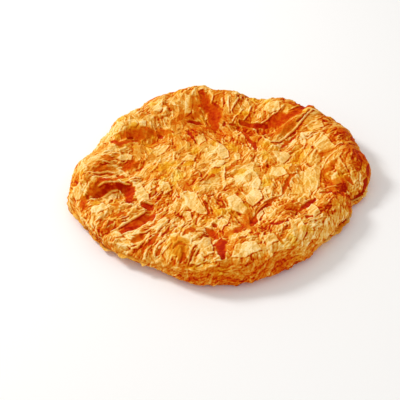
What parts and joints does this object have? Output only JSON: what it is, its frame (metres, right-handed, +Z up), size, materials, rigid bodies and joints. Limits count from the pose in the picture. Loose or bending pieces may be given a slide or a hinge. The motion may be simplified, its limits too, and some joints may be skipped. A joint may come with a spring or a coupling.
{
  "type": "feteer meshaltet",
  "caption": "Whole round layered butter pastry with a raised pleated rim and a crumpled golden top, uncut.",
  "frame": {"origin": "middle of the underside of the pastry's bounding box, on the surface it rests on", "axes": "+Z up, +X to the viewer's right, +Y away from the viewer"},
  "size_m": [0.2886, 0.2932, 0.0333],
  "materials": {
    "crust": "dry flaky baked crust, cream gold on the ridges and orange brown in the hollows, with a slight butter sheen"
  },
  "bodies": {
    "root": {"feteer": "crust"}
  },
  "joints": []
}
